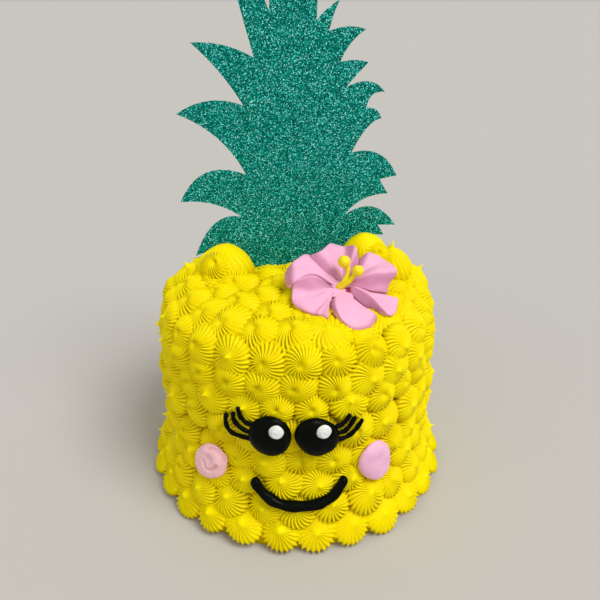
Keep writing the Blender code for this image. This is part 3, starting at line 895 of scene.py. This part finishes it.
# Stars inside this radius and height round the flower stay this far under a petal. Close to its
# rim they stay this far under the rim, and may rise with distance from it.
FLOWER_SPAN = (0.036, 0.016)
RAY_START = -0.030
PETAL_GAP = 0.0004
RIM_REACH = 0.009
RIM_GAP = 0.0016
RIM_SLOPE = 0.5
# The middle, a pink heart and a dark red dab that is painted shade in the throat: (name, place of
# its centre, radius, height)
FLOWER_MIDDLES = (
    ("flower_heart", (-0.0006, -0.0004, 0.0), 0.0068, 0.0004),
    ("painted_throat_shade", (0.0014, -0.0020, 0.0), 0.0015, 0.0012),
)
# A petal is a fan of ribs that run from the throat to its rim, as points (x, y, lift) in mm
PETALS = {
    1: (
        ((-7.0, -5.0, 0.0), (-10.3, -8.7, -1.0), (-9.5, -14.6, -1.0), (-7.8, -18.2, -1.0)),
        ((-6.5, -5.6, 2.0), (-9.4, -13.7, 4.5), (-9.1, -19.8, 4.5), (-7.7, -22.6, 3.5)),
        ((-4.0, -5.1, 1.5), (-4.5, -15.6, 3.5), (-3.9, -23.8, 3.5), (-3.3, -26.6, 2.0)),
        ((-1.4, -5.1, 1.0), (-0.3, -15.4, 3.0), (2.6, -24.0, 3.0), (4.0, -26.5, 1.5)),
        ((-0.5, -4.8, 0.8), (2.7, -14.1, 2.5), (6.1, -21.4, 3.5), (9.0, -22.8, 2.0)),
        ((0.5, -4.5, 0.5), (4.8, -12.8, 2.0), (7.9, -17.9, 3.5), (9.5, -21.3, 4.0)),
    ),
    2: (
        ((1.5, -2.8, 0.0), (5.3, -11.2, 0.0), (9.4, -15.7, 0.0), (12.0, -18.0, 0.0)),
        ((3.4, -1.9, 2.5), (9.1, -10.3, 5.0), (12.3, -18.1, 5.5), (14.2, -22.3, 5.0)),
        ((3.7, -1.8, 2.3), (10.1, -10.6, 3.9), (14.7, -18.6, 3.7), (18.0, -21.6, 3.0)),
        ((4.1, -1.4, 2.0), (11.4, -10.0, 2.5), (18.4, -15.1, 2.0), (22.0, -17.3, 1.0)),
        ((4.4, -0.8, 1.5), (12.5, -5.2, 1.0), (20.5, -8.0, 1.0), (25.4, -10.5, 0.5)),
    ),
    3: (
        ((3.7, 0.6, 0.5), (10.6, -3.4, 0.5), (17.6, -5.7, 0.5), (20.9, -6.3, 0.0)),
        ((3.8, 1.6, 1.2), (11.4, -0.6, 2.6), (18.3, -2.0, 2.8), (22.6, -2.4, 2.5)),
        ((3.8, 2.0, 2.0), (11.8, 3.0, 5.5), (21.3, 2.4, 6.8), (27.3, 1.9, 6.8)),
        ((3.9, 3.4, 1.5), (14.4, 7.2, 4.0), (21.7, 10.1, 4.5), (25.0, 11.1, 4.0)),
        ((3.8, 4.3, 1.0), (11.7, 9.7, 4.0), (16.4, 15.6, 4.5), (18.3, 18.2, 3.5)),
        ((3.5, 4.8, 1.0), (8.7, 9.5, 1.5), (11.3, 13.9, 1.5), (12.6, 16.7, 1.5)),
    ),
    4: (
        ((2.9, 5.3, 0.5), (7.7, 9.1, 1.5), (9.8, 11.6, 2.0), (11.3, 13.6, 1.5)),
        ((1.6, 5.7, 1.5), (6.0, 12.7, 4.5), (9.2, 18.5, 6.0), (10.6, 21.3, 6.0)),
        ((0.1, 6.3, 1.0), (3.1, 15.5, 1.5), (5.6, 22.7, 1.0), (6.7, 26.3, 0.5)),
        ((-1.7, 6.2, 1.5), (-1.7, 15.0, 3.5), (-1.1, 23.6, 3.5), (-0.5, 27.8, 2.5)),
        ((-2.7, 6.3, 1.5), (-5.0, 11.5, 4.5), (-6.9, 17.8, 5.5), (-8.2, 20.9, 5.5)),
        ((-3.3, 5.9, 0.5), (-8.1, 9.8, 1.0), (-12.3, 17.6, 1.5), (-13.6, 21.8, 1.5)),
    ),
    5: (
        ((-3.8, 5.8, 1.0), (-8.1, 10.7, 1.5), (-12.9, 19.0, 2.5), (-13.5, 22.6, 1.5)),
        ((-4.9, 5.0, 1.0), (-12.2, 10.6, 3.0), (-17.3, 17.9, 4.5), (-17.6, 21.0, 3.5)),
        ((-5.5, 4.3, 1.0), (-14.1, 9.9, 3.5), (-23.3, 14.9, 5.5), (-24.0, 16.8, 3.0)),
        ((-5.7, 3.6, 1.0), (-14.8, 8.5, 3.5), (-24.8, 9.8, 5.5), (-28.0, 13.8, -1.0)),
        ((-6.1, 2.8, 1.0), (-14.9, 7.9, 3.0), (-26.1, 3.3, 5.0), (-28.7, 5.8, -1.0)),
        ((-6.3, 2.5, 0.5), (-14.2, 6.3, 1.0), (-23.5, 3.5, 1.0), (-25.5, 3.6, 0.0)),
    ),
    6: (
        ((-7.3, 1.1, 1.5), (-15.2, 6.3, 5.0), (-22.6, 4.7, 5.5), (-25.6, 3.7, 5.0)),
        ((-7.7, 0.7, 0.5), (-14.4, -1.1, 0.5), (-23.2, 0.2, 2.0), (-27.4, 0.9, 2.5)),
        ((-7.2, -0.9, 0.5), (-17.8, -5.9, 2.0), (-25.9, -6.2, 2.0), (-28.3, -6.5, 1.0)),
        ((-6.7, -2.0, 0.5), (-16.0, -10.0, 2.0), (-20.8, -13.1, 2.0), (-21.9, -13.8, 1.5)),
        ((-6.4, -2.3, 0.5), (-13.4, -9.7, 1.0), (-16.8, -13.6, 1.2), (-17.6, -14.7, 0.5)),
        ((-5.9, -2.2, 0.0), (-10.8, -9.5, 1.5), (-13.2, -16.5, 2.5), (-13.8, -18.6, 2.0)),
    ),
}

PETAL_PINK = buttercream(
    "petal_buttercream", (0.89, 0.45, 0.635), (0.61, 0.25, 0.41), 0.50, 0.28, 0.15
)
# The throat's dark red is painted shade for the hole between the petals
THROAT_PAINTED_SHADE = icing("throat_painted_shade", (0.32, 0.01, 0.03), 0.45, 0.30, 0.0003)


def petal_sheet(ribs, across_steps, along_steps):
    """The petal's upper face as a grid that runs smoothly through the points of its ribs."""
    long_lines = []
    for rib in ribs:
        x, y = [rib[0][axis] * THROAT_SHARE + THROAT[axis] for axis in (0, 1)]
        points = [Vector((x, y, THROAT[2]))] + [Vector(point) for point in rib]
        long_lines.append(smooth_route(points, along_steps))
    rows = [smooth_route(list(row), across_steps) for row in zip(*long_lines)]
    across, along = len(rows[0]) - 1, len(rows) - 1
    bm = bmesh.new()
    bm.verts.layers.float.new("painted_shade")
    bmesh.ops.create_grid(bm, x_segments=across, y_segments=along, size=1.0)
    for vert in bm.verts:
        place = rows[round((vert.co.y + 1) / 2 * along)][round((vert.co.x + 1) / 2 * across)]
        vert.co = place / 1000
    return bm


def press_under(petal):
    """Flattens the stars that would come through this petal, or stand up close round its rim."""
    tree = BVHTree.FromBMesh(petal)
    to_flower = FLOWER_FRAME.inverted()
    ahead = FLOWER_FRAME.to_3x3() @ Vector((0, 0, 1))
    for piece in star_pieces:
        for vert in piece.data.vertices:
            flat = to_flower @ vert.co
            if flat.xy.length > FLOWER_SPAN[0] or abs(flat.z) > FLOWER_SPAN[1]:
                continue
            start = FLOWER_FRAME @ Vector((flat.x, flat.y, RAY_START))
            hit = tree.ray_cast(start, ahead)[0]
            if hit:
                limit = (to_flower @ hit).z - PETAL_GAP
            else:
                near, normal, face, away = tree.find_nearest(vert.co, RIM_REACH)
                if not near:
                    continue
                limit = (to_flower @ near).z - RIM_GAP + RIM_SLOPE * away
            if flat.z > limit:
                flat.z = limit
                vert.co = FLOWER_FRAME @ flat


for number, ribs in PETALS.items():
    bm = petal_sheet(ribs, *PETAL_STEPS)
    fineness, size = PETAL_LUMPS
    for vert in bm.verts:
        vert.co.z += noise.noise(vert.co * fineness + Vector((number, 0, 0))) * size
    sheet = bmesh.ops.extrude_face_region(bm, geom=bm.faces[:])
    lowered = [item for item in sheet["geom"] if isinstance(item, bmesh.types.BMVert)]
    for vert in lowered:
        thin = THINNING * min(1.0, vert.co.xy.length / THIN_DISTANCE)
        vert.co.z -= PETAL_THICKNESS * (THICK_SHARE - thin)
    bmesh.ops.recalc_face_normals(bm, faces=bm.faces)
    painted_shade = bm.verts.layers.float["painted_shade"]
    # Painted shade on faces turned away from the light
    for vert in bm.verts:
        facing_from_light = max(0.0, -vert.normal.y, -FOLD_TO_LEFT * vert.normal.x)
        facing_from_light = facing_from_light if vert.normal.z > 0 else 0.0
        vert[painted_shade] = max(0.0, min(PAINTED_FOLD_SHADE, FOLD_CONTRAST * (facing_from_light - FOLD_FROM)))
    bm.transform(FLOWER_FRAME)
    press_under(bm)
    made = finished(f"pink_petal_{number}", bm, PETAL_PINK, [f"petal_{number}"])
    rounding = made.modifiers.new("rounding", "SUBSURF")
    rounding.levels = 1
    rounding.render_levels = 1

for (name, middle, size, top), finish in zip(FLOWER_MIDDLES, (PETAL_PINK, THROAT_PAINTED_SHADE)):
    bm = mound(
        lambda around: size * (1 + 0.25 * math.cos(5 * around + 0.6)),
        lambda share, around: top - 0.0003 * share,
        30,
        4,
    )
    bm.transform(FLOWER_FRAME @ Matrix.Translation(middle))
    finished(name, bm, finish, [])

# Stamens: two bent filaments of stiff yellow icing with a ball on each, stood in the throat.
STAMEN_RADIUS = 0.00130
STAMEN_STEPS = 6
STAMEN_SIDES = 14
STAMEN_WAVER = 0.08
STAMENS = {
    "left": (
        (-0.0040, 0.0009, -0.0006),
        (-0.0014, 0.0010, 0.0030),
        (0.0009, 0.0028, 0.0060),
        (0.0014, 0.0053, 0.0085),
        (-0.0003, 0.0078, 0.0112),
    ),
    "right": (
        (-0.0032, 0.0002, -0.0006),
        (-0.0003, 0.0000, 0.0025),
        (0.0022, 0.0006, 0.0055),
        (0.0034, 0.0010, 0.0080),
        (0.0053, 0.0018, 0.0104),
    ),
}
STAMEN_BALLS = {"left": 0.0032, "right": 0.0029}
BALL_STEPS = (32, 20)
BALL_LUMPS = (300, 0.0002)
DIMPLE_DEPTH = 0.0005
DIMPLE_WIDTH = 0.0008

STAMEN_YELLOW = buttercream(
    "stamen_buttercream", (0.88, 0.72, 0.01), (0.55, 0.38, 0.0), 0.45, 0.30, 0.10
)

for side, route in STAMENS.items():
    curve = smooth_route([Vector(point) for point in route], STAMEN_STEPS)
    bm = piped_rope(curve, STAMEN_RADIUS, STAMEN_SIDES, STAMEN_WAVER, 1.0)
    ball = bmesh.ops.create_uvsphere(
        bm, u_segments=BALL_STEPS[0], v_segments=BALL_STEPS[1], radius=STAMEN_BALLS[side]
    )["verts"]
    for vert in ball:
        if vert.co.z > 0:
            dimple = math.exp(-((vert.co.xy.length / DIMPLE_WIDTH) ** 2))
            vert.co.z -= DIMPLE_DEPTH * dimple
    lump(ball, *BALL_LUMPS)
    bmesh.ops.translate(bm, verts=ball, vec=route[-1])
    bm.transform(FLOWER_FRAME)
    finished(f"yellow_stamen_{side}", bm, STAMEN_YELLOW, [f"stamen_{side}"])

# Crown: one flat sheet of green glitter card cut to an outline of pineapple leaves, its foot
# pushed into the top of the cake. Glitter covers both faces.
CARD_Y = 0.020
CARD_THICKNESS = 0.0011
CARD_CORNER = 30.0
EDGE_STEPS = 10
FLAKES_PER_METRE = 2500.0
FLAKE_TILT = 0.7
# A flake's tone by its lot: from this share of the flakes on, this colour. The darker tones differ
# at random; the brightest tenth are painted glints.
FLAKE_TONES_AND_GLINTS = (
    (0.00, (0.0, 0.05, 0.035, 1)),
    (0.45, (0.0, 0.15, 0.115, 1)),
    (0.78, (0.0, 0.30, 0.245, 1)),
    (0.90, (0.05, 0.70, 0.60, 1)),
    (1.00, (0.42, 1.0, 0.94, 1)),
)
# The outline in mm as (corner, point that the edge from there on bends towards)
CROWN_EDGE = (
    ((-22, 100), (-22, 107)),
    ((-22, 113), (-25, 114)),
    ((-27, 116), (-44, 128)),
    ((-58, 121), (-47, 149)),
    ((-30, 144), (-44, 155)),
    ((-64, 153), (-52, 178)),
    ((-27, 168), (-38, 191)),
    ((-62, 200), (-45, 211)),
    ((-27, 204), (-37, 221)),
    ((-52, 234), (-35, 235)),
    ((-21, 227), (-26, 246)),
    ((-34, 275), (-19, 264)),
    ((-13, 248), (-12, 276)),
    ((0, 297), (12, 276)),
    ((10, 244), (14, 249)),
    ((21, 253), (18, 247)),
    ((16, 239), (25, 243)),
    ((34, 240), (25, 234)),
    ((22, 225), (29, 227)),
    ((36, 225), (30, 219)),
    ((25, 213), (38, 220)),
    ((45, 211), (37, 212)),
    ((36, 203), (42, 204)),
    ((44, 198), (37, 197)),
    ((29, 180), (46, 185)),
    ((54, 168), (49, 167)),
    ((45, 166), (47, 162)),
    ((50, 158), (35, 158)),
    ((26, 145), (43, 158)),
    ((55, 140), (50, 140)),
    ((45, 140), (47, 138)),
    ((49, 134), (34, 136)),
    ((27, 117), (25, 114)),
    ((22, 113), (22, 107)),
    ((22, 100), (0, 100)),
)


def glitter(name):
    """Flakes under half a millimetre across, each with its own tone, dullness and tilt; the
    brightest tones are painted glints.
    """
    made, tree, shader = new_finish(name)
    place = node(tree, "TexCoord", {}).outputs["Object"]
    flakes = node(tree, "TexVoronoi", {"Vector": place, "Scale": FLAKES_PER_METRE})
    lots = node(tree, "SeparateColor", {0: flakes.outputs["Color"]})
    tones = node(tree, "ValToRGB", {0: lots.outputs[0]})
    ramp = tones.color_ramp.elements
    ramp[0].color = FLAKE_TONES_AND_GLINTS[0][1]
    ramp[1].color = FLAKE_TONES_AND_GLINTS[-1][1]
    for at, colour in FLAKE_TONES_AND_GLINTS[1:-1]:
        ramp.new(at).color = colour
    tree.links.new(tones.outputs[0], shader.inputs["Base Color"])
    tilt = node(
        tree, "VectorMath", {0: flakes.outputs["Color"], 1: (0.5, 0.5, 0.5)}, operation="SUBTRACT"
    )
    tilted = node(tree, "VectorMath", {0: tilt.outputs[0], "Scale": FLAKE_TILT}, operation="SCALE")
    plain = node(tree, "NewGeometry", {}).outputs["Normal"]
    leaning = node(tree, "VectorMath", {0: plain, 1: tilted.outputs[0]}, operation="ADD")
    facing = node(tree, "VectorMath", {0: leaning.outputs[0]}, operation="NORMALIZE")
    tree.links.new(facing.outputs[0], shader.inputs["Normal"])
    dull = node(tree, "MapRange", {0: lots.outputs[1], 1: 0.0, 2: 1.0, 3: 0.22, 4: 0.55})
    tree.links.new(dull.outputs[0], shader.inputs["Roughness"])
    shader.inputs["Metallic"].default_value = 0.0
    shader.inputs["Specular IOR Level"].default_value = 0.08
    shader.inputs["Specular Tint"].default_value = (0.45, 1.0, 0.92, 1)
    return made


GREEN_GLITTER = glitter("green_glitter")

data = bpy.data.curves.new("crown_outline", "CURVE")
data.dimensions = "2D"
data.fill_mode = "BOTH"
data.resolution_u = EDGE_STEPS
data.extrude = CARD_THICKNESS / 2
spline = data.splines.new("BEZIER")
spline.use_cyclic_u = True
spline.bezier_points.add(len(CROWN_EDGE) - 1)
corners = [Vector((*corner, 0)) / 1000 for corner, pull in CROWN_EDGE]
pulls = [Vector((*pull, 0)) / 1000 for corner, pull in CROWN_EDGE]
for index, knot in enumerate(spline.bezier_points):
    knot.co = corners[index]
    knot.handle_left_type = "FREE"
    knot.handle_right_type = "FREE"
    knot.handle_left = corners[index].lerp(pulls[index - 1], 2 / 3)
    knot.handle_right = corners[index].lerp(pulls[index], 2 / 3)
flat_card = new_object("crown_outline", data)
graph = bpy.context.evaluated_depsgraph_get()
bm = bmesh.new()
bm.from_mesh(bpy.data.meshes.new_from_object(flat_card.evaluated_get(graph)))
bpy.data.objects.remove(flat_card, do_unlink=True)
bmesh.ops.remove_doubles(bm, verts=bm.verts, dist=WELD)
bm.transform(Matrix.Translation((0, CARD_Y, 0)) @ Matrix.Rotation(math.radians(90), 4, "X"))
card = finished("glitter_crown", bm, GREEN_GLITTER, ["leaf_crown"])
card.data.set_sharp_from_angle(angle=math.radians(CARD_CORNER))

# Room: a plain pale floor and a soft studio light from above and in front.
FLOOR_HALF = 40.0
FLOOR_HEIGHT = -0.0002
FLOOR_COLOUR = (0.517, 0.499, 0.470, 1)
SKY_COLOUR = (1.0, 0.985, 0.96, 1)
SKY_STRENGTH = 0.52
# Lights: (name, direction it comes from, strength, softness in degrees)
LIGHTS = (
    ("key_light", (0.48, -0.38, 0.86), 2.15, 30.0),
    ("fill_light", (-0.60, -0.80, 0.45), 0.45, 70.0),
)
# The camera's tilt in degrees is 90 when level
CAMERA_PLACE = (0.0019, -0.300, 0.254)
CAMERA_TILT = 63.2
FILM_WIDTH = 36
FOCAL_LENGTH = 36

bm = bmesh.new()
bmesh.ops.create_grid(bm, x_segments=1, y_segments=1, size=FLOOR_HALF)
bmesh.ops.translate(bm, verts=bm.verts, vec=(0, 0, FLOOR_HEIGHT))
mesh = bpy.data.meshes.new("floor")
bm.to_mesh(mesh)
bm.free()
floor = new_object("floor", mesh)
pale, tree, shader = new_finish("pale_floor")
shader.inputs["Base Color"].default_value = FLOOR_COLOUR
shader.inputs["Roughness"].default_value = 0.9
shader.inputs["Specular IOR Level"].default_value = 0.1
mesh.materials.append(pale)

world = bpy.data.worlds.new("studio")
bpy.context.scene.world = world
world.use_nodes = True
sky = world.node_tree.nodes["Background"]
sky.inputs["Color"].default_value = SKY_COLOUR
sky.inputs["Strength"].default_value = SKY_STRENGTH

for name, towards, power, softness in LIGHTS:
    data = bpy.data.lights.new(name, "SUN")
    data.energy = power
    data.angle = math.radians(softness)
    lamp = new_object(name, data)
    lamp.rotation_euler = Vector(towards).to_track_quat("Z", "Y").to_euler()
    lamp.location = Vector(towards)

camera_data = bpy.data.cameras.new("camera")
camera_data.lens = FOCAL_LENGTH
camera_data.sensor_width = FILM_WIDTH
camera_data.clip_start = 0.01
camera_data.clip_end = 200
camera = new_object("camera", camera_data)
camera.location = CAMERA_PLACE
camera.rotation_euler = (math.radians(CAMERA_TILT), 0, 0)
bpy.context.scene.camera = camera
bpy.context.scene.view_settings.view_transform = "Standard"
